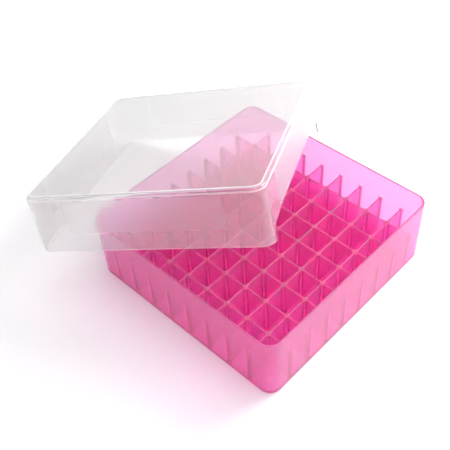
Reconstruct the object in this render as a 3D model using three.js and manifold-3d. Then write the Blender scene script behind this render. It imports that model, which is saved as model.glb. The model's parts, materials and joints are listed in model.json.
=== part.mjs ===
// Cryogenic storage box: a tray with a 9 x 9 grid of tube cells, and its loose lid leaning on it.
//
// Millimetres, +Z up. The origin is the centre of the tray's underside, +X and +Y are the outward
// normals of two neighbouring tray walls, and the tray stands on the plane z = 0.
//
// The tray is one moulding on the bench. Here its grid is sixteen plates that cross in half-laps,
// so that every cell is a real open space between plain flat solids.

import * as THREE from 'three';
import { mergeVertices } from 'three/addons/utils/BufferGeometryUtils.js';
import Module from 'manifold-3d';

const wasm = await Module();
wasm.setup();

// Tray
const TRAY_WIDTH = 132;
const TRAY_HEIGHT = 41.8;
const TRAY_WALL = 1.2;
const TRAY_FLOOR = 1.5;
const TRAY_CORNER = 7;

// Grid of cells
const CELLS_A_SIDE = 9;
const DIVIDER_TOP = 25.8;
const DIVIDER_THICKNESS = 1.1;
const FIT_GAP = 0.15;
const DRAIN_DIAMETER = 3;
const DRAIN_SIDES = 8;

// Lid, measured in its own frame: rim on z = 0, top plate at z = LID_HEIGHT
const LID_WIDTH = 134;
const LID_HEIGHT = 33.8;
const LID_WALL = 0.8;
const LID_TOP = 1;
const LID_CORNER = 7;

// Finger cut-out: one skirt of the lid stops short of the rim between its two corners
const FINGER_CUT_HEIGHT = 9.8;
const FINGER_CUT_LENGTH = 122;
const FINGER_CUT_DEPTH = 10;

// Where the lid lies: turned about Z, then leaned, with one rim on the tray and one corner down
const LID_POSITION = [-52.2, -3.6, 29.5];
const LID_LEAN_X = -5.4;
const LID_LEAN_Y = -17.4;
const LID_TURN_Z = 29.1;

const CORNER_STEPS = 6;

// Worked out from the sizes above
const TRAY_INSIDE = TRAY_WIDTH - 2 * TRAY_WALL;
const CELL_PITCH = TRAY_INSIDE / CELLS_A_SIDE;
const DIVIDERS_A_WAY = CELLS_A_SIDE - 1;
const DIVIDER_BOTTOM = TRAY_FLOOR + FIT_GAP;
const DIVIDER_LENGTH = TRAY_INSIDE - 2 * FIT_GAP;
const LAP_HEIGHT = (DIVIDER_BOTTOM + DIVIDER_TOP) / 2;
const MIDDLE_CELL = (CELLS_A_SIDE - 1) / 2;

// Finishes

function tintedPlastic() {
  return new THREE.MeshStandardMaterial({ color: 0xf04a9c, roughness: 0.35, metalness: 0 });
}

function naturalPlastic() {
  return new THREE.MeshStandardMaterial({ color: 0xe4e4e6, roughness: 0.5, metalness: 0 });
}

// Booleans

function toSolid(geometry) {
  const bare = geometry.clone();
  bare.deleteAttribute('normal');
  bare.deleteAttribute('uv');
  const merged = mergeVertices(bare, 1e-4);
  return new wasm.Manifold(new wasm.Mesh({
    numProp: 3,
    vertProperties: new Float32Array(merged.attributes.position.array),
    triVerts: new Uint32Array(merged.index.array),
  }));
}

function toGeometry(solid) {
  const mesh = solid.getMesh();
  const geometry = new THREE.BufferGeometry();
  geometry.setAttribute('position', new THREE.BufferAttribute(mesh.vertProperties, 3));
  geometry.setIndex(new THREE.BufferAttribute(mesh.triVerts, 1));
  geometry.computeVertexNormals();
  return geometry;
}

// Basic solids, each placed by its lowest and highest level

function roundedSquare(width, radius) {
  const edge = width / 2;
  const centre = edge - radius;
  const outline = new THREE.Shape();
  outline.moveTo(edge, -centre);
  outline.absarc(centre, centre, radius, 0, Math.PI / 2);
  outline.absarc(-centre, centre, radius, Math.PI / 2, Math.PI);
  outline.absarc(-centre, -centre, radius, Math.PI, 1.5 * Math.PI);
  outline.absarc(centre, -centre, radius, 1.5 * Math.PI, 2 * Math.PI);
  return outline;
}

function roundedBlock(width, radius, low, high) {
  const geometry = new THREE.ExtrudeGeometry(roundedSquare(width, radius), {
    depth: high - low,
    bevelEnabled: false,
    curveSegments: CORNER_STEPS,
  });
  geometry.translate(0, 0, low);
  return toSolid(geometry);
}

function box(sizeX, sizeY, low, high, x, y) {
  const geometry = new THREE.BoxGeometry(sizeX, sizeY, high - low);
  geometry.translate(x, y, (low + high) / 2);
  return toSolid(geometry);
}

function drainHole(x, y) {
  const radius = DRAIN_DIAMETER / 2;
  const geometry = new THREE.CylinderGeometry(radius, radius, 3 * TRAY_FLOOR, DRAIN_SIDES);
  geometry.rotateX(Math.PI / 2);
  geometry.translate(x, y, TRAY_FLOOR / 2);
  return toSolid(geometry);
}

// Tray

function trayShell() {
  const insideCorner = TRAY_CORNER - TRAY_WALL;
  let shell = roundedBlock(TRAY_WIDTH, TRAY_CORNER, 0, TRAY_HEIGHT);
  shell = shell.subtract(roundedBlock(TRAY_INSIDE, insideCorner, TRAY_FLOOR, TRAY_HEIGHT + 1));
  for (let column = 0; column < CELLS_A_SIDE; column += 1) {
    for (let row = 0; row < CELLS_A_SIDE; row += 1) {
      const isMiddle = column === MIDDLE_CELL && row === MIDDLE_CELL;
      if (!isMiddle) {
        const x = (column - MIDDLE_CELL) * CELL_PITCH;
        const y = (row - MIDDLE_CELL) * CELL_PITCH;
        shell = shell.subtract(drainHole(x, y));
      }
    }
  }
  return toGeometry(shell);
}

// Offset of a divider from the tray's middle: the first lies one cell in from the wall
function dividerOffset(number) {
  return (number - (DIVIDERS_A_WAY + 1) / 2) * CELL_PITCH;
}

// A plate along X. Its laps are cut from the top, and from below on the plates that cross it.
function dividerPlate(lapLow, lapHigh) {
  let plate = box(DIVIDER_LENGTH, DIVIDER_THICKNESS, DIVIDER_BOTTOM, DIVIDER_TOP, 0, 0);
  const lapWidth = DIVIDER_THICKNESS + 2 * FIT_GAP;
  for (let crossing = 1; crossing <= DIVIDERS_A_WAY; crossing += 1) {
    const lap = box(lapWidth, 3 * DIVIDER_THICKNESS, lapLow, lapHigh, dividerOffset(crossing), 0);
    plate = plate.subtract(lap);
  }
  return toGeometry(plate);
}

function dividers() {
  const grid = new THREE.Group();
  const halfGap = FIT_GAP / 2;
  for (let number = 1; number <= DIVIDERS_A_WAY; number += 1) {
    const alongX = new THREE.Mesh(
      dividerPlate(LAP_HEIGHT - halfGap, DIVIDER_TOP + 1),
      tintedPlastic(),
    );
    alongX.name = `divider_x_${number}`;
    alongX.position.y = dividerOffset(number);
    grid.add(alongX);

    const alongY = new THREE.Mesh(
      dividerPlate(DIVIDER_BOTTOM - 1, LAP_HEIGHT + halfGap),
      tintedPlastic(),
    );
    alongY.name = `divider_y_${number}`;
    alongY.rotation.z = Math.PI / 2;
    alongY.position.x = dividerOffset(number);
    grid.add(alongY);
  }
  return grid;
}

// Lid

function lidShell() {
  const inside = LID_WIDTH - 2 * LID_WALL;
  const insideCorner = LID_CORNER - LID_WALL;
  const fingerCut = box(
    FINGER_CUT_DEPTH,
    FINGER_CUT_LENGTH,
    -1,
    FINGER_CUT_HEIGHT,
    LID_WIDTH / 2,
    0,
  );
  const shell = roundedBlock(LID_WIDTH, LID_CORNER, 0, LID_HEIGHT)
    .subtract(roundedBlock(inside, insideCorner, -1, LID_HEIGHT - LID_TOP))
    .subtract(fingerCut);
  return toGeometry(shell);
}

function leaningLid() {
  const placed = new THREE.Group();
  placed.position.set(...LID_POSITION);
  placed.rotation.set(
    THREE.MathUtils.degToRad(LID_LEAN_X),
    THREE.MathUtils.degToRad(LID_LEAN_Y),
    THREE.MathUtils.degToRad(LID_TURN_Z),
  );
  const lid = new THREE.Mesh(lidShell(), naturalPlastic());
  lid.name = 'lid';
  placed.add(lid);
  return placed;
}

// Whole box

const storageBox = new THREE.Group();
const tray = new THREE.Mesh(trayShell(), tintedPlastic());
tray.name = 'tray_shell';
storageBox.add(tray, dividers(), leaningLid());

export default storageBox;
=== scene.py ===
"""Visual model of a cryogenic storage box: a gridded tray and its loose lid, made round the frame."""

import json
import logging
import math
from dataclasses import dataclass, field
from enum import Enum
from typing import Callable, Sequence

import bmesh
import bpy
from mathutils import Euler, Matrix, Vector


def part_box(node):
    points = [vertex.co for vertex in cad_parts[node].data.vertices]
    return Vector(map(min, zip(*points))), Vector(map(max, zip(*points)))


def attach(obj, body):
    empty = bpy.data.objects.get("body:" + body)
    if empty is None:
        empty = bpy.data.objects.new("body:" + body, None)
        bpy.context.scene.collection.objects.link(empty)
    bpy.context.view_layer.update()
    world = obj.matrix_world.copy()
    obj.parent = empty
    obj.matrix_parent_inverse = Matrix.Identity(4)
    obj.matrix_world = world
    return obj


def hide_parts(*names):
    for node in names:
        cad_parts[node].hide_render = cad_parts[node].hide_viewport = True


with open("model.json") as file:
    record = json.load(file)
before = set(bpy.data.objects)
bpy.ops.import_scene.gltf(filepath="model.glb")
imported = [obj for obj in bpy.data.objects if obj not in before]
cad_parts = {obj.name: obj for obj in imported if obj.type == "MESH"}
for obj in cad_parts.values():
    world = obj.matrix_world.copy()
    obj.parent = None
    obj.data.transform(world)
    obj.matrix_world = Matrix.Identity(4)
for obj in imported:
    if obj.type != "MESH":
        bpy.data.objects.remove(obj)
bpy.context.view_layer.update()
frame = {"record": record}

LOG = logging.getLogger("cryo_box")
MM = 0.001
WELD = 0.004 * MM
PATTERN_DARK = 0.3
PATTERN_LIGHT = 0.7

Point2 = tuple[float, float]
Colour = tuple[float, float, float]


class Side(Enum):
    """The four sides of a square, counted anticlockwise from +X, as the angle of the outward normal."""

    RIGHT = 0
    FAR = 90
    LEFT = 180
    NEAR = 270

    @property
    def after(self) -> "Side":
        """The next side, anticlockwise."""
        return Side((self.value + 90) % 360)


class TileKind(Enum):
    """Which sides of a cell are the tray's own wall."""

    INNER = ()
    MIDDLE = None
    EDGE = (Side.RIGHT,)
    CORNER = (Side.RIGHT, Side.FAR)


class LidZone(Enum):
    """The lid's surfaces, as the number of each one's material slot."""

    CLEAR = 0
    FROSTED = 1
    # The lid's rounded edges and rim, whose whiter, cloudier plastic is a painted highlight.
    EDGE = 2


# ---------------------------------------------------------------------------------------------
# Finishes, and the painted highlight on the lid's edges
# ---------------------------------------------------------------------------------------------


@dataclass(frozen=True)
class ClearPlastic:
    """Moulded polypropylene that light passes through: glossy, a little hazy, and tinted all through."""

    name: str
    skin: Colour
    clear: float
    roughness: float
    roughness_spread: float = 0.05
    ior: float = 1.45
    tint: Colour = (1.0, 1.0, 1.0)
    density: float = 0.0
    haze_scale: float = 60.0
    haze_detail: float = 4.0
    grain_height: float = 0.0
    grain_scale: float = 2500.0
    grain_detail: float = 2.0

    def make(self) -> bpy.types.Material:
        """Builds the material.

        Returns:
            A see-through material, with a volume where the plastic is tinted.
        """
        mat, nodes, links = new_material(self.name)
        shader = nodes["Principled BSDF"]
        shader.inputs["Base Color"].default_value = (*self.skin, 1.0)
        shader.inputs["IOR"].default_value = self.ior
        shader.inputs["Transmission Weight"].default_value = self.clear
        haze = noise(nodes, links, self.haze_scale, self.haze_detail)
        spread = map_range(
            nodes, links, haze, self.roughness, self.roughness + self.roughness_spread
        )
        links.new(spread, shader.inputs["Roughness"])
        if self.grain_height > 0.0:
            bump = nodes.new("ShaderNodeBump")
            bump.inputs["Distance"].default_value = self.grain_height
            grain = noise(nodes, links, self.grain_scale, self.grain_detail)
            links.new(grain, bump.inputs["Height"])
            links.new(bump.outputs["Normal"], shader.inputs["Normal"])
        if self.density > 0.0:
            body = nodes.new("ShaderNodeVolumeAbsorption")
            body.inputs["Color"].default_value = (*self.tint, 1.0)
            body.inputs["Density"].default_value = self.density
            links.new(body.outputs["Volume"], nodes["Material Output"].inputs["Volume"])
        return mat


TRAY_PINK = ClearPlastic(
    "tray_pink",
    skin=(0.97, 0.6, 0.85),
    clear=0.88,
    roughness=0.215,
    ior=1.38,
    tint=(0.985, 0.0, 0.76),
    density=170.0,
)
LID_NATURAL = ClearPlastic("lid_natural", skin=(0.885, 0.89, 0.885), clear=0.85, roughness=0.03)
LID_FROSTED = ClearPlastic(
    "lid_frosted",
    skin=(0.885, 0.89, 0.885),
    clear=0.82,
    roughness=0.32,
    grain_height=0.01 * MM,
)
# Painted highlight: a whiter, less clear plastic on the lid's rounded edges and rim. It stands in for
# the bright lines where light catches them.
LID_EDGE_PAINTED_HIGHLIGHT = ClearPlastic("lid_edge", skin=(0.97, 0.97, 0.97), clear=0.5, roughness=0.08)


@dataclass(frozen=True)
class TableTop:
    """The plain pale surface that the box stands on."""

    name: str = "table_top"
    colour: Colour = (0.86, 0.86, 0.87)
    roughness: float = 0.8
    sheen: float = 0.2

    def make(self) -> bpy.types.Material:
        """Builds the material.

        Returns:
            A matt, nearly white material.
        """
        mat, nodes, _ = new_material(self.name)
        shader = nodes["Principled BSDF"]
        shader.inputs["Base Color"].default_value = (*self.colour, 1.0)
        shader.inputs["Roughness"].default_value = self.roughness
        shader.inputs["Specular IOR Level"].default_value = self.sheen
        return mat


def new_material(name: str) -> tuple[bpy.types.Material, bpy.types.Nodes, bpy.types.NodeLinks]:
    """Makes a material with a Principled shader.

    Args:
        name: The material's name.

    Returns:
        The material, its nodes and its links.
    """
    mat = bpy.data.materials.new(name)
    mat.use_nodes = True
    return mat, mat.node_tree.nodes, mat.node_tree.links


def noise(
    nodes: bpy.types.Nodes, links: bpy.types.NodeLinks, scale: float, detail: float
) -> bpy.types.NodeSocket:
    """Adds a noise pattern fixed to the piece.

    Args:
        nodes: The material's nodes.
        links: The material's links.
        scale: The pattern's scale, per metre.
        detail: How many finer layers it holds.

    Returns:
        The pattern's factor socket.
    """
    place = nodes.new("ShaderNodeTexCoord")
    pattern = nodes.new("ShaderNodeTexNoise")
    pattern.inputs["Scale"].default_value = scale
    pattern.inputs["Detail"].default_value = detail
    links.new(place.outputs["Object"], pattern.inputs["Vector"])
    return pattern.outputs["Fac"]


def map_range(
    nodes: bpy.types.Nodes,
    links: bpy.types.NodeLinks,
    value: bpy.types.NodeSocket,
    low: float,
    high: float,
) -> bpy.types.NodeSocket:
    """Maps a pattern's middle range to low..high.

    Args:
        nodes: The material's nodes.
        links: The material's links.
        value: The pattern.
        low: What its dark parts become.
        high: What its light parts become.

    Returns:
        The mapped socket.
    """
    mapped = nodes.new("ShaderNodeMapRange")
    mapped.inputs["From Min"].default_value = PATTERN_DARK
    mapped.inputs["From Max"].default_value = PATTERN_LIGHT
    mapped.inputs["To Min"].default_value = low
    mapped.inputs["To Max"].default_value = high
    links.new(value, mapped.inputs["Value"])
    return mapped.outputs["Result"]


# ---------------------------------------------------------------------------------------------
# Mesh helpers
# ---------------------------------------------------------------------------------------------


def arc(start: float, end: float, steps: int) -> list[float]:
    """Angles in radians from start to end in degrees, both included."""
    return [math.radians(start + (end - start) * step / steps) for step in range(steps + 1)]


def quarter_turns(steps: int) -> list[tuple[float, float]]:
    """(1 - cos, 1 - sin) over a quarter turn, which is how a fillet leaves one face for another."""
    return [(1.0 - math.cos(angle), 1.0 - math.sin(angle)) for angle in arc(0, 90, steps)]


def loft(mesh: bmesh.types.BMesh, loops: Sequence[Sequence[Vector]]) -> list[list[bmesh.types.BMVert]]:
    """Joins closed loops of equal length with bands of quads.

    Args:
        mesh: The mesh that takes the faces.
        loops: The loops in order, each anticlockwise when the faces' outside is seen.

    Returns:
        The loops' vertices.
    """
    rings = [[mesh.verts.new(point) for point in loop] for loop in loops]
    for ring, following in zip(rings, rings[1:]):
        for here in range(len(ring)):
            there = (here + 1) % len(ring)
            mesh.faces.new((ring[here], ring[there], following[there], following[here]))
    return rings


def finish_mesh(mesh: bmesh.types.BMesh, name: str) -> bpy.types.Object:
    """Welds a mesh, drops its empty faces and makes it a smooth-shaded object.

    Args:
        mesh: The mesh, which is freed.
        name: The object's name.

    Returns:
        The object, linked to the scene.
    """
    bmesh.ops.remove_doubles(mesh, verts=mesh.verts, dist=WELD)
    bmesh.ops.dissolve_degenerate(mesh, edges=mesh.edges, dist=WELD)
    for face in mesh.faces:
        face.smooth = True
    data = bpy.data.meshes.new(name)
    mesh.to_mesh(data)
    mesh.free()
    made = bpy.data.objects.new(name, data)
    bpy.context.scene.collection.objects.link(made)
    return made


def shade_by_area(piece: bpy.types.Object) -> bpy.types.Object:
    """Gives a piece normals that keep its flats flat and its fillets round, as plain mesh data.

    Args:
        piece: The object.

    Returns:
        The same object with new mesh data and no modifier.
    """
    weighted = piece.modifiers.new("flat_faces_lead", "WEIGHTED_NORMAL")
    weighted.keep_sharp = True
    weighted.weight = 100
    return bake_modifiers(piece)


def bake_modifiers(piece: bpy.types.Object) -> bpy.types.Object:
    """Turns the evaluated object into a plain mesh and removes its modifiers.

    Args:
        piece: The object.

    Returns:
        The same object with the result as its mesh.
    """
    graph = bpy.context.evaluated_depsgraph_get()
    result = bpy.data.meshes.new_from_object(
        piece.evaluated_get(graph), preserve_all_data_layers=True, depsgraph=graph
    )
    piece.modifiers.clear()
    piece.data = result
    return piece


def discard(*objects: bpy.types.Object) -> None:
    """Removes objects that only helped to make others."""
    for thing in objects:
        bpy.data.objects.remove(thing)


# ---------------------------------------------------------------------------------------------
# Tray
# ---------------------------------------------------------------------------------------------


@dataclass(frozen=True)
class Corner:
    """One rounded corner of a cell's outline, in the cell's own plane."""

    centre: Point2
    radius: float
    steps: int

    def points(self) -> list[Point2]:
        """The arc's points, anticlockwise."""
        return [
            (
                self.centre[0] + self.radius * math.cos(angle),
                self.centre[1] + self.radius * math.sin(angle),
            )
            for angle in arc(0, 90, self.steps)
        ]


@dataclass
class Tray:
    """The tray: outer wall, floor with drain holes, and the grid of cells, all one moulding.

    Sizes are in metres. The width, the height and the grid's top come from the frame's solids.
    """

    floor: float = 1.5 * MM
    wall: float = 1.2 * MM
    corner: float = 7.0 * MM
    cells: int = 9
    divider_at_top: float = 0.95 * MM
    divider_at_foot: float = 1.3 * MM
    wall_draft: float = 0.1 * MM
    cell_corner: float = 1.9 * MM
    cell_corner_steps: int = 4
    wall_corner_steps: int = 10
    lip: float = 0.35 * MM
    foot_fillet: float = 1.0 * MM
    rim_fillet: float = 0.5 * MM
    base_fillet: float = 0.9 * MM
    fillet_steps: int = 3
    drain: float = 1.5 * MM
    drain_edge: float = 0.2 * MM
    gate_recess: float = 3.2 * MM
    gate_nub: float = 0.9 * MM
    gate_stub_face: float = 0.63 * MM
    gate_stub_end: float = 0.12 * MM
    gate_stub_shoulder: float = 0.2 * MM
    gate_depth: float = 0.4 * MM
    finish: ClearPlastic = TRAY_PINK
    width: float = 0.0
    height: float = 0.0
    grid_top: float = 0.0

    def __post_init__(self) -> None:
        """Reads the outer sizes from the frame."""
        low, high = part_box("tray_shell")
        self.width = high.x - low.x
        self.height = high.z
        self.grid_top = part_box("divider_x_1")[1].z

    @property
    def pitch(self) -> float:
        """From the middle of one cell to the middle of the next."""
        return (self.width - 2.0 * self.wall) / self.cells

    @property
    def inside(self) -> float:
        """Half the width between the walls."""
        return self.width / 2.0 - self.wall

    def cell_outline(
        self, walls: Sequence[Side], from_divider: float, from_wall: float
    ) -> list[Point2]:
        """The outline of one cell at one level.

        Args:
            walls: The cell's sides that are the tray's wall.
            from_divider: How far the outline stands in from the middle of a divider.
            from_wall: How far it stands in from the wall's face.

        Returns:
            The outline's points, anticlockwise from the middle of the +X side.
        """
        half = self.pitch / 2.0
        reach = {side: half - (from_wall if side in walls else from_divider) for side in Side}
        points: list[Point2] = []
        for side in Side:
            points.append(spin((reach[side], 0.0), side.value))
            corner = self.corner_of(walls, side, reach, from_divider, from_wall)
            points.extend(spin(point, side.value) for point in corner.points())
        return points

    def corner_of(
        self,
        walls: Sequence[Side],
        side: Side,
        reach: dict[Side, float],
        from_divider: float,
        from_wall: float,
    ) -> Corner:
        """The rounded corner between a side and the one after it, as if the first faced +X.

        Args:
            walls: The cell's sides that are the tray's wall.
            side: The first side.
            reach: How far each side is from the cell's middle.
            from_divider: How far the outline stands in from the middle of a divider.
            from_wall: How far it stands in from the wall's face.

        Returns:
            The corner.
        """
        if side in walls and side.after in walls:
            radius = self.corner - self.wall
            centre = self.pitch / 2.0 - radius
            return Corner((centre, centre), radius - from_wall, self.wall_corner_steps)
        deepest = max(0.0, from_divider - self.divider_at_foot / 2.0)
        radius = self.cell_corner - deepest
        middle = (reach[side] - radius, reach[side.after] - radius)
        return Corner(middle, radius, self.cell_corner_steps)

    def tile_border(self, walls: Sequence[Side]) -> list[Point2]:
        """The square that a cell owns, out to the middle of its dividers and the face of its walls.

        Args:
            walls: The cell's sides that are the tray's wall.

        Returns:
            As many points as cell_outline gives, each on the square.
        """
        half = self.pitch / 2.0
        first = self.cell_outline(walls, self.divider_at_top / 2.0 - self.lip, 0.0)
        points: list[Point2] = []
        index = 0
        for side in Side:
            points.append(spin((half, 0.0), side.value))
            index += 1
            if side in walls and side.after in walls:
                steps = self.wall_corner_steps
                points.extend(first[index : index + steps + 1])
            else:
                steps = self.cell_corner_steps
                local = [spin(p, -side.value) for p in first[index : index + steps + 1]]
                start, end = local[0][1], local[-1][0]
                for step in range(steps + 1):
                    turn = math.radians(90.0 * step / steps)
                    if 2 * step <= steps:
                        point = (half, start + (half - start) * math.tan(turn))
                    else:
                        point = (end + (half - end) / math.tan(turn), half)
                    points.append(spin(point, side.value))
            index += steps + 1
        return points

    def circle(self, count: int, radius: float) -> list[Point2]:
        """Points round the cell's middle, as many as its outline has.

        Args:
            count: How many points.
            radius: The circle's radius.

        Returns:
            The points, anticlockwise from +X.
        """
        return [
            (radius * math.cos(angle), radius * math.sin(angle))
            for angle in arc(0, 360, count)[:-1]
        ]

    def cell_levels(self, walls: Sequence[Side]) -> list[list[Vector]]:
        """The loops of one cell from the middle of its dividers' tops to its floor.

        Args:
            walls: The cell's sides that are the tray's wall.

        Returns:
            The loops, from the top down.
        """
        top, foot = self.divider_at_top / 2.0, self.divider_at_foot / 2.0
        loops = [at_level(self.tile_border(walls), self.grid_top)]
        for angle in arc(0, 90, self.fillet_steps):
            inset = top - self.lip * (1.0 - math.sin(angle))
            level = self.grid_top - self.lip * (1.0 - math.cos(angle))
            loops.append(at_level(self.cell_outline(walls, inset, 0.0), level))
        for inward, down in quarter_turns(self.fillet_steps):
            inset = foot + self.foot_fillet * inward
            from_wall = self.wall_draft + self.foot_fillet * inward
            level = self.floor + self.foot_fillet * down
            loops.append(at_level(self.cell_outline(walls, inset, from_wall), level))
        return loops

    def tile(self, kind: TileKind) -> bpy.types.Object:
        """One cell as an open piece of the moulding, centred on the cell.

        Args:
            kind: Which of its sides are the tray's wall.

        Returns:
            The tile.
        """
        walls = kind.value or ()
        mesh = bmesh.new()
        loops = self.cell_levels(walls)
        count = len(loops[0])
        border = at_level(self.tile_border(walls), 0.0)
        if kind is TileKind.MIDDLE:
            self.close_floor(mesh, loops)
            self.moulding_gate(mesh, border)
        else:
            edge = self.drain + self.drain_edge
            for radius, level in (
                (edge, self.floor),
                (self.drain, self.floor - self.drain_edge),
                (self.drain, self.drain_edge),
                (edge, 0.0),
            ):
                loops.append(at_level(self.circle(count, radius), level))
            loops.append(border)
            loft(mesh, loops)
        return finish_mesh(mesh, f"tile_{kind.name.lower()}")

    def close_floor(self, mesh: bmesh.types.BMesh, loops: Sequence[Sequence[Vector]]) -> None:
        """Makes a cell that ends in a whole floor."""
        mesh.faces.new(loft(mesh, loops)[-1])

    def moulding_gate(self, mesh: bmesh.types.BMesh, border: Sequence[Vector]) -> None:
        """Makes the round recess under the middle cell, with the stub of the sprue in it."""
        count = len(border)
        loops = [
            at_level(self.circle(count, radius), level)
            for radius, level in (
                (self.gate_stub_face, self.gate_stub_end),
                (self.gate_nub, self.gate_stub_shoulder),
                (self.gate_nub, self.gate_depth),
                (self.gate_recess - self.drain_edge, self.gate_depth),
                (self.gate_recess, self.gate_depth - self.drain_edge),
                (self.gate_recess, 0.0),
            )
        ]
        rings = loft(mesh, [*loops, border])
        mesh.faces.new(rings[0][::-1])

    def wall_path(self) -> list[tuple[Point2, Point2]]:
        """The line where the wall's inner face meets the cells.

        Returns:
            Each point with its outward normal, anticlockwise.
        """
        edge = self.wall_side_of(self.tile_border(TileKind.EDGE.value), (Side.RIGHT,))
        corner = self.wall_side_of(
            self.tile_border(TileKind.CORNER.value), (Side.RIGHT, Side.FAR)
        )
        last = (self.cells - 1) // 2
        centre = self.inside - (self.corner - self.wall)
        path: list[tuple[Point2, Point2]] = []
        for side in Side:
            run: list[Point2] = []
            for place in range(1 - last, last):
                run.extend((x + last * self.pitch, y + place * self.pitch) for x, y in edge)
            run.extend((x + last * self.pitch, y + last * self.pitch) for x, y in corner)
            for point in run:
                beyond = (max(0.0, point[0] - centre), max(0.0, point[1] - centre))
                normal = Vector(beyond).normalized()
                path.append((spin(point, side.value), spin((normal.x, normal.y), side.value)))
        return without_repeats(path)

    def wall_side_of(self, border: Sequence[Point2], walls: Sequence[Side]) -> list[Point2]:
        """The points of a tile's border that lie on the tray's wall, anticlockwise.

        Args:
            border: The tile's border.
            walls: Its wall sides, which start at +X.

        Returns:
            The points from the start of the first wall side to the end of the last.
        """
        half = self.pitch / 2.0
        far = Side.FAR in walls
        on_wall = [
            point
            for point in border
            if point[0] > half - WELD
            or (far and point[1] > half - WELD)
            or (far and min(point) > half - (self.corner - self.wall) - WELD)
        ]
        return sorted(on_wall, key=lambda point: math.atan2(point[1], point[0]))

    def outer_wall(self) -> bpy.types.Object:
        """The wall from the cells' tops over the rim and down to the underside.

        Returns:
            The wall, open where the cells join it.
        """
        rise = self.rim_fillet
        base = self.base_fillet
        profile = [(0.0, self.grid_top), (0.0, self.height - rise)]
        for along, across in quarter_turns(self.fillet_steps + 1)[1:]:
            profile.append((rise * along, self.height - rise * across))
        for along, across in reversed(quarter_turns(self.fillet_steps + 1)):
            profile.append((self.wall - rise * along, self.height - rise * across))
        for along, across in quarter_turns(self.fillet_steps + 1):
            profile.append((self.wall - base * along, base * across))
        profile.append((0.0, 0.0))
        path = self.wall_path()
        loops = [
            [
                Vector((p[0] + n[0] * out, p[1] + n[1] * out, level))
                for p, n in path
            ]
            for out, level in reversed(profile)
        ]
        mesh = bmesh.new()
        loft(mesh, loops)
        return finish_mesh(mesh, "outer_wall")

    def build(self) -> bpy.types.Object:
        """Sets the tiles out on their grid, welds them to the wall and dresses the result.

        Returns:
            The whole tray as one piece.
        """
        tiles = {kind: self.tile(kind) for kind in TileKind}
        wall = self.outer_wall()
        piece = bpy.data.objects.new("tray_moulding", bpy.data.meshes.new("tray_moulding"))
        bpy.context.scene.collection.objects.link(piece)
        material = self.finish.make()
        layout = CellLayout().tree()
        modifier = piece.modifiers.new("cell_layout", "NODES")
        modifier.node_group = layout
        set_inputs(
            modifier,
            {
                "Inner Tile": tiles[TileKind.INNER],
                "Middle Tile": tiles[TileKind.MIDDLE],
                "Edge Tile": tiles[TileKind.EDGE],
                "Corner Tile": tiles[TileKind.CORNER],
                "Outer Wall": wall,
                "Pitch": self.pitch,
                "Cells": self.cells,
                "Weld": WELD,
                "Plastic": material,
            },
        )
        bake_modifiers(piece)
        discard(wall, *tiles.values())
        shade_by_area(piece)
        nodes = [name for name, body in node_bodies().items() if body == "tray"]
        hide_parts(*nodes)
        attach(piece, "tray")
        return piece


def spin(point: Point2, degrees: float) -> Point2:
    """A point turned anticlockwise about the origin."""
    turn = math.radians(degrees)
    return (
        point[0] * math.cos(turn) - point[1] * math.sin(turn),
        point[0] * math.sin(turn) + point[1] * math.cos(turn),
    )


def at_level(points: Sequence[Point2], level: float) -> list[Vector]:
    """Flat points lifted to a height."""
    return [Vector((x, y, level)) for x, y in points]


def without_repeats(path: Sequence[tuple[Point2, Point2]]) -> list[tuple[Point2, Point2]]:
    """A closed path without points that repeat the one before them."""
    kept: list[tuple[Point2, Point2]] = []
    for place, normal in path:
        if not kept or (Vector(place) - Vector(kept[-1][0])).length > WELD:
            kept.append((place, normal))
    if (Vector(kept[0][0]) - Vector(kept[-1][0])).length < WELD:
        kept.pop()
    return kept


def node_bodies() -> dict[str, str]:
    """Each CAD node's body."""
    bodies = frame["record"]["behaviour"]["bodies"]
    return {node: body for body, members in bodies.items() for node in members}


# ---------------------------------------------------------------------------------------------
# Geometry Nodes
# ---------------------------------------------------------------------------------------------


def set_inputs(modifier: bpy.types.Modifier, values: dict[str, object]) -> None:
    """Sets a Geometry Nodes modifier's inputs, found by name and set by identifier.

    Args:
        modifier: The modifier.
        values: The inputs' names and values.
    """
    for item in modifier.node_group.interface.items_tree:
        if item.item_type == "SOCKET" and item.in_out == "INPUT" and item.name in values:
            modifier[item.identifier] = values[item.name]


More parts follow.
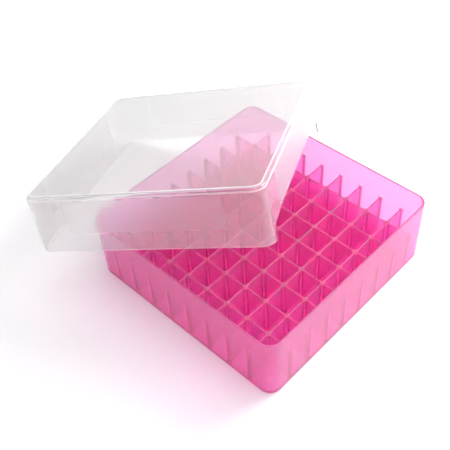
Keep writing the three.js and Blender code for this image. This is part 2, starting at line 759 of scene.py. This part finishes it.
class NodeSheet:
    """A small helper for laying out a Geometry Nodes tree."""

    def __init__(self, name: str) -> None:
        """Starts an empty tree with a geometry output."""
        self.tree = bpy.data.node_groups.new(name, "GeometryNodeTree")
        self.tree.interface.new_socket("Geometry", in_out="OUTPUT", socket_type="NodeSocketGeometry")
        self.given = self.tree.nodes.new("NodeGroupInput")
        self.out = self.tree.nodes.new("NodeGroupOutput")

    def input(self, name: str, kind: str) -> None:
        """Adds a named input of a socket type."""
        self.tree.interface.new_socket(name, in_out="INPUT", socket_type=kind)

    def add(self, kind: str, **inputs: object) -> bpy.types.Node:
        """Adds a node.

        Args:
            kind: The node's type.
            **inputs: Its inputs by name with spaces as underscores: sockets are linked, values set.

        Returns:
            The node.
        """
        node = self.tree.nodes.new(kind)
        for name, value in inputs.items():
            self.feed(node.inputs[name.replace("_", " ")], value)
        return node

    def feed(self, socket: bpy.types.NodeSocket, value: object) -> None:
        """Links a socket to another or sets its value."""
        if isinstance(value, bpy.types.NodeSocket):
            self.tree.links.new(value, socket)
        else:
            socket.default_value = value

    def maths(self, operation: str, first: object, second: object) -> bpy.types.NodeSocket:
        """The result of a sum on two numbers."""
        node = self.tree.nodes.new("ShaderNodeMath")
        node.operation = operation
        self.feed(node.inputs[0], first)
        self.feed(node.inputs[1], second)
        return node.outputs[0]

    def vector(self, x: object = 0.0, y: object = 0.0, z: object = 0.0) -> bpy.types.NodeSocket:
        """A vector from three numbers or sockets."""
        return self.add("ShaderNodeCombineXYZ", X=x, Y=y, Z=z).outputs[0]

    def shape(self, name: str) -> bpy.types.NodeSocket:
        """The geometry of an object input."""
        info = self.add("GeometryNodeObjectInfo", Object=self.given.outputs[name])
        return info.outputs["Geometry"]

    def join(self, *shapes: bpy.types.NodeSocket) -> bpy.types.NodeSocket:
        """Several geometries as one."""
        node = self.tree.nodes.new("GeometryNodeJoinGeometry")
        for shape in shapes:
            self.tree.links.new(shape, node.inputs[0])
        return node.outputs[0]

    def move(
        self,
        shape: bpy.types.NodeSocket,
        offset: bpy.types.NodeSocket,
    ) -> bpy.types.NodeSocket:
        """A geometry moved by a vector."""
        node = self.add("GeometryNodeTransform", Geometry=shape, Translation=offset)
        return node.outputs[0]

    def copies(
        self,
        points: bpy.types.NodeSocket,
        shape: bpy.types.NodeSocket,
        **inputs: object,
    ) -> bpy.types.NodeSocket:
        """A copy of a geometry on each point."""
        node = self.add("GeometryNodeInstanceOnPoints", Points=points, Instance=shape, **inputs)
        return node.outputs[0]


class CellLayout:
    """The rule that sets the cells out: a square of inner cells, edge rows, corners and the wall."""

    def tree(self) -> bpy.types.NodeTree:
        """Builds the node tree.

        Returns:
            A tree with the tiles, their pitch and their number as named inputs.
        """
        sheet = NodeSheet("cell_layout")
        for name in ("Inner Tile", "Middle Tile", "Edge Tile", "Corner Tile", "Outer Wall"):
            sheet.input(name, "NodeSocketObject")
        sheet.input("Pitch", "NodeSocketFloat")
        sheet.input("Cells", "NodeSocketInt")
        sheet.input("Weld", "NodeSocketFloat")
        sheet.input("Plastic", "NodeSocketMaterial")
        given = sheet.given.outputs
        inner_count = sheet.maths("SUBTRACT", given["Cells"], 2)
        span = sheet.maths("MULTIPLY", sheet.maths("SUBTRACT", given["Cells"], 3), given["Pitch"])
        reach = sheet.maths(
            "MULTIPLY",
            sheet.maths("SUBTRACT", given["Cells"], 1),
            sheet.maths("MULTIPLY", given["Pitch"], 0.5),
        )
        whole = sheet.join(
            self.inner_cells(sheet, inner_count, span),
            sheet.shape("Middle Tile"),
            self.four_sides(sheet, inner_count, span, reach),
            sheet.shape("Outer Wall"),
        )
        realized = sheet.add("GeometryNodeRealizeInstances", Geometry=whole).outputs[0]
        welded = sheet.add(
            "GeometryNodeMergeByDistance", Geometry=realized, Distance=given["Weld"]
        ).outputs[0]
        dressed = sheet.add(
            "GeometryNodeSetMaterial", Geometry=welded, Material=given["Plastic"]
        ).outputs[0]
        sheet.tree.links.new(dressed, sheet.out.inputs[0])
        return sheet.tree

    def inner_cells(
        self, sheet: NodeSheet, count: bpy.types.NodeSocket, span: bpy.types.NodeSocket
    ) -> bpy.types.NodeSocket:
        """A square of inner tiles with its middle place left free.

        Args:
            sheet: The tree.
            count: How many tiles a side.
            span: From the first tile's middle to the last one's.

        Returns:
            The copies.
        """
        grid = sheet.add(
            "GeometryNodeMeshGrid", Size_X=span, Size_Y=span, Vertices_X=count, Vertices_Y=count
        )
        place = sheet.tree.nodes.new("GeometryNodeInputPosition")
        distance = sheet.tree.nodes.new("ShaderNodeVectorMath")
        distance.operation = "LENGTH"
        sheet.tree.links.new(place.outputs[0], distance.inputs[0])
        beyond = sheet.maths("GREATER_THAN", distance.outputs["Value"], MM)
        return sheet.copies(grid.outputs["Mesh"], sheet.shape("Inner Tile"), Selection=beyond)

    def four_sides(
        self,
        sheet: NodeSheet,
        count: bpy.types.NodeSocket,
        span: bpy.types.NodeSocket,
        reach: bpy.types.NodeSocket,
    ) -> bpy.types.NodeSocket:
        """The row of edge tiles and one corner tile, turned to each of the four sides.

        Args:
            sheet: The tree.
            count: How many edge tiles a side.
            span: From the first edge tile's middle to the last one's.
            reach: From the tray's middle to an edge tile's.

        Returns:
            The copies.
        """
        line = sheet.add(
            "GeometryNodeMeshGrid", Size_X=0.0, Size_Y=span, Vertices_X=1, Vertices_Y=count
        )
        row = sheet.move(line.outputs["Mesh"], sheet.vector(x=reach))
        corner = sheet.move(sheet.shape("Corner Tile"), sheet.vector(x=reach, y=reach))
        side = sheet.join(sheet.copies(row, sheet.shape("Edge Tile")), corner)
        turns = sheet.add("GeometryNodePoints", Count=4)
        index = sheet.tree.nodes.new("GeometryNodeInputIndex")
        angle = sheet.maths("MULTIPLY", index.outputs[0], math.pi / 2.0)
        return sheet.copies(turns.outputs[0], side, Rotation=sheet.vector(z=angle))


# ---------------------------------------------------------------------------------------------
# Lid
# ---------------------------------------------------------------------------------------------


@dataclass
class Lid:
    """The lid: a top plate and four skirts, one of them cut back to leave a finger gap.

    Its own frame has the rim on z = 0 and the cut-back skirt facing +X. Sizes are in metres.
    """

    width: float = 134.0 * MM
    height: float = 33.8 * MM
    wall: float = 0.8 * MM
    top: float = 1.0 * MM
    corner: float = 7.0 * MM
    corner_steps: int = 12
    top_fillet: float = 2.4 * MM
    inner_fillet: float = 1.5 * MM
    rim_fillet: float = 0.25 * MM
    fillet_steps: int = 4
    edge_rise: float = 0.3
    flat_rise: float = 0.995
    upright_rise: float = 0.05
    finger_cut: float = 9.8 * MM
    finger_cut_half: float = 61.0 * MM
    finger_cut_corner: float = 1.6 * MM
    finger_cut_slope: float = 0.3 * MM
    finger_cut_foot: float = 0.12 * MM
    finger_cut_foot_rise: float = 0.5 * MM
    finger_cut_apart: float = 0.2 * MM
    panel_half: float = 44.5 * MM
    panel_low: float = 11.2 * MM
    panel_high: float = 30.6 * MM
    place: Vector = field(default_factory=lambda: Vector((-52.2, -3.6, 29.5)) * MM)
    lean: tuple[float, float, float] = (-5.4, -17.4, 29.1)
    # The natural and frosted plastics, then the painted highlight for the edges and rim.
    finishes_and_painted_highlight: tuple[ClearPlastic, ...] = (LID_NATURAL, LID_FROSTED, LID_EDGE_PAINTED_HIGHLIGHT)

    def pose(self) -> Matrix:
        """Where the lid lies: turned about Z, then leaned over Y and X."""
        lean_x, lean_y, turn_z = (math.radians(angle) for angle in self.lean)
        turn = Matrix.Rotation(lean_x, 4, "X") @ Matrix.Rotation(lean_y, 4, "Y")
        return Matrix.Translation(self.place) @ turn @ Matrix.Rotation(turn_z, 4, "Z")

    def skirt_path(self) -> list[tuple[Point2, Point2, float]]:
        """The lid's outer outline with its outward normals and the height of the rim there.

        Returns:
            The points, anticlockwise from the start of the +X skirt.
        """
        half = self.width / 2.0
        centre = half - self.corner
        straight = (-self.panel_half, -self.panel_half / 2, 0.0, self.panel_half / 2, self.panel_half)
        path: list[tuple[Point2, Point2, float]] = []
        for side in Side:
            run = [((half, y), (1.0, 0.0)) for y in (-centre, *straight)]
            for angle in arc(0, 90, self.corner_steps):
                normal = (math.cos(angle), math.sin(angle))
                point = (centre + self.corner * normal[0], centre + self.corner * normal[1])
                run.append((point, normal))
            if side is Side.RIGHT:
                path.extend(self.cut_back(run))
            else:
                for point, normal in run[:-1]:
                    path.append((spin(point, side.value), spin(normal, side.value), 0.0))
        return path

    def cut_back(
        self, run: Sequence[tuple[Point2, Point2]]
    ) -> list[tuple[Point2, Point2, float]]:
        """The +X skirt's points with the rim raised between the two ends of the finger cut.

        Args:
            run: The skirt's points and the corner after it.

        Returns:
            The points with the rim's height at each.
        """
        radius = self.finger_cut_corner
        steps: list[tuple[float, float]] = []
        for along, up in quarter_turns(3):
            level = self.finger_cut - radius * along
            steps.append((radius * (1.0 - up) + self.finger_cut_slope, level))
        foot = (self.finger_cut_foot, self.finger_cut_foot_rise)
        shoulder = (self.finger_cut_slope, self.finger_cut - radius)
        ramp = sorted([(0.0, 0.0), foot, shoulder, *steps])
        start, end = -self.finger_cut_half, self.finger_cut_half
        rim = [(start + along, level) for along, level in ramp]
        rim += [(end - along, level) for along, level in reversed(ramp)]
        inner = [(p, n, self.finger_cut) for p, n in run[1:6]]
        first = [self.on_skirt(y, level) for y, level in rim if y < 0.0]
        last = [self.on_skirt(y, level) for y, level in rim if y > 0.0]
        corner = [(p, n, 0.0) for p, n in run[7:-1] if p[1] > end + self.finger_cut_apart]
        return [*first, *inner, *last, *corner]

    def on_skirt(self, y: float, level: float) -> tuple[Point2, Point2, float]:
        """A point of the +X skirt at y, with its normal and the rim's height."""
        centre = self.width / 2.0 - self.corner
        beyond = max(0.0, abs(y) - centre)
        turn = math.asin(beyond / self.corner)
        normal = (math.cos(turn), math.copysign(math.sin(turn), y) if beyond else 0.0)
        return ((centre + self.corner * normal[0], y), normal, level)

    def shell(self) -> bpy.types.Object:
        """The lid's mesh, with the writing panels in a material slot of their own and the edges in one
        that paints a highlight on them.

        Returns:
            The closed shell in the lid's own frame.
        """
        path = self.skirt_path()
        mesh = bmesh.new()
        high = self.height
        inner_top = high - self.top
        profile: list[tuple[float, Callable[[float], float]]] = []
        for along, up in reversed(quarter_turns(self.fillet_steps)):
            level = inner_top - self.inner_fillet * up
            profile.append((self.wall + self.inner_fillet * along, fixed(level)))
        profile.append((self.wall, fixed(self.panel_high)))
        profile.append((self.wall, fixed(self.panel_low)))
        for along, up in quarter_turns(2):
            profile.append((self.wall - self.rim_fillet * along, above(self.rim_fillet * up)))
        for along, up in reversed(quarter_turns(2)):
            profile.append((self.rim_fillet * along, above(self.rim_fillet * up)))
        profile.append((0.0, fixed(self.panel_low)))
        profile.append((0.0, fixed(self.panel_high)))
        for along, up in quarter_turns(self.fillet_steps):
            level = high - self.top_fillet * up
            profile.append((self.top_fillet * along, fixed(level)))
        loops = [
            [Vector((p[0] - n[0] * inset, p[1] - n[1] * inset, level(rim))) for p, n, rim in path]
            for inset, level in profile
        ]
        rings = loft(mesh, loops)
        mesh.faces.new(rings[0][::-1])
        mesh.faces.new(rings[-1])
        bmesh.ops.recalc_face_normals(mesh, faces=mesh.faces)
        for face in mesh.faces:
            face.material_index = self.zone_of(face).value
        return finish_mesh(mesh, "lid_moulding")

    def zone_of(self, face: bmesh.types.BMFace) -> LidZone:
        """Which of the lid's surfaces a face belongs to.

        Args:
            face: A face of the finished shell, with its normal outward.

        Returns:
            Its zone.
        """
        middle = face.calc_center_median()
        outside = max(abs(middle.x), abs(middle.y)) > self.width / 2.0 - self.wall / 4.0
        across = min(abs(middle.x), abs(middle.y)) < self.panel_half
        if outside and across and self.panel_low < middle.z < self.panel_high:
            return LidZone.FROSTED
        rise = face.normal.z
        # Two bands of the top fillet and the rim's underside take the edge slot, which paints the bright
        # double line and the rim line where light catches the rounding.
        fillet_foot = self.upright_rise < rise < self.edge_rise
        fillet_head = math.sqrt(1.0 - self.edge_rise**2) < rise < self.flat_rise
        on_rim = middle.z < self.finger_cut + self.rim_fillet and rise < -self.edge_rise
        return LidZone.EDGE if fillet_foot or fillet_head or on_rim else LidZone.CLEAR

    def build(self) -> bpy.types.Object:
        """Makes the lid, lays it in its place and dresses it.

        Returns:
            The lid as one piece.
        """
        piece = self.shell()
        piece.data.transform(self.pose())
        for finish in self.finishes_and_painted_highlight:
            piece.data.materials.append(finish.make())
        shade_by_area(piece)
        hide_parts("lid")
        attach(piece, "lid")
        return piece


def fixed(level: float) -> Callable[[float], float]:
    """A height that doesn't follow the rim."""
    return lambda rim: level


def above(rise: float) -> Callable[[float], float]:
    """A height above the rim."""
    return lambda rim: rim + rise


# ---------------------------------------------------------------------------------------------
# Studio
# ---------------------------------------------------------------------------------------------


@dataclass
class Studio:
    """The plain pale floor, the soft light and the camera."""

    floor_half: float = 6.0
    floor_level: float = -0.2 * MM
    sky: Colour = (1.0, 1.0, 1.0)
    bright_side: tuple[float, float, float] = (0.55, 0.75, 0.5)
    glow_reach: float = 0.9
    dim_glow: float = 0.08
    bright_glow: float = 1.5
    wall_passes: int = 48
    key_place: tuple[float, float, float] = (0.14, 0.5, 0.45)
    key_size: float = 0.4
    key_power: float = 4.0
    camera_place: Vector = field(default_factory=lambda: Vector((198.8, -213.7, 339.8)) * MM)
    camera_turn: tuple[float, float, float] = (43.27, 2.97, 43.63)
    lens: float = 60.65
    sensor: float = 36.0
    clip: tuple[float, float] = (0.01, 50.0)
    top: TableTop = field(default_factory=TableTop)

    def camera(self) -> bpy.types.Object:
        """Makes the camera and sets it as the scene's.

        Returns:
            The camera.
        """
        data = bpy.data.cameras.new("camera")
        data.lens = self.lens
        data.sensor_width = self.sensor
        data.clip_start, data.clip_end = self.clip
        made = bpy.data.objects.new("camera", data)
        made.location = self.camera_place
        made.rotation_euler = Euler([math.radians(angle) for angle in self.camera_turn], "XYZ")
        bpy.context.scene.collection.objects.link(made)
        bpy.context.scene.camera = made
        return made

    def floor(self) -> bpy.types.Object:
        """Makes the floor just under the box.

        Returns:
            The floor.
        """
        half = self.floor_half
        mesh = bmesh.new()
        corners = ((-half, -half), (half, -half), (half, half), (-half, half))
        mesh.faces.new([mesh.verts.new((x, y, self.floor_level)) for x, y in corners])
        made = finish_mesh(mesh, "table_top")
        made.data.materials.append(self.top.make())
        return made

    def light(self, name: str, place: Sequence[float], size: float, power: float) -> bpy.types.Object:
        """Makes one soft area light that faces the box.

        Args:
            name: The light's name.
            place: Where it hangs, in metres.
            size: Its width, in metres.
            power: Its power, in watts.

        Returns:
            The light.
        """
        data = bpy.data.lights.new(name, "AREA")
        data.shape = "DISK"
        data.size = size
        data.energy = power
        made = bpy.data.objects.new(name, data)
        made.location = place
        made.rotation_euler = (-Vector(place)).to_track_quat("-Z", "Y").to_euler()
        bpy.context.scene.collection.objects.link(made)
        return made

    def world(self) -> None:
        """Makes the white surroundings, which brighten smoothly towards the window side."""
        world = bpy.data.worlds.new("studio")
        world.use_nodes = True
        nodes, links = world.node_tree.nodes, world.node_tree.links
        place = nodes.new("ShaderNodeTexCoord")
        towards = nodes.new("ShaderNodeVectorMath")
        towards.operation = "DOT_PRODUCT"
        towards.inputs[1].default_value = Vector(self.bright_side).normalized()
        links.new(place.outputs["Generated"], towards.inputs[0])
        glow = nodes.new("ShaderNodeMapRange")
        glow.interpolation_type = "SMOOTHSTEP"
        glow.inputs["From Min"].default_value = -self.glow_reach
        glow.inputs["From Max"].default_value = self.glow_reach
        glow.inputs["To Min"].default_value = self.dim_glow
        glow.inputs["To Max"].default_value = self.bright_glow
        links.new(towards.outputs["Value"], glow.inputs["Value"])
        back = nodes["Background"]
        back.inputs["Color"].default_value = (*self.sky, 1.0)
        links.new(glow.outputs["Result"], back.inputs["Strength"])
        bpy.context.scene.world = world

    def light_paths(self) -> None:
        """Lets light pass the many thin walls of the grid without being cut short or blurred away."""
        cycles = bpy.context.scene.cycles
        cycles.blur_glossy = 0.0
        cycles.max_bounces = self.wall_passes
        cycles.transmission_bounces = self.wall_passes
        cycles.glossy_bounces = self.wall_passes
        cycles.diffuse_bounces = self.wall_passes

    def build(self) -> None:
        """Sets up the whole studio."""
        self.camera()
        self.floor()
        self.world()
        self.light_paths()
        self.light("key", self.key_place, self.key_size, self.key_power)
        bpy.context.scene.view_settings.view_transform = "Standard"


def main() -> None:
    """Builds the studio, the tray and the lid, in order, and reports each piece."""
    logging.basicConfig(level=logging.INFO, format="%(name)s: %(message)s")
    Studio().build()
    for maker in (Tray(), Lid()):
        piece = maker.build()
        piece.data.calc_loop_triangles()
        LOG.info("%s: %d triangles", piece.name, len(piece.data.loop_triangles))


if __name__ == "__main__":
    main()
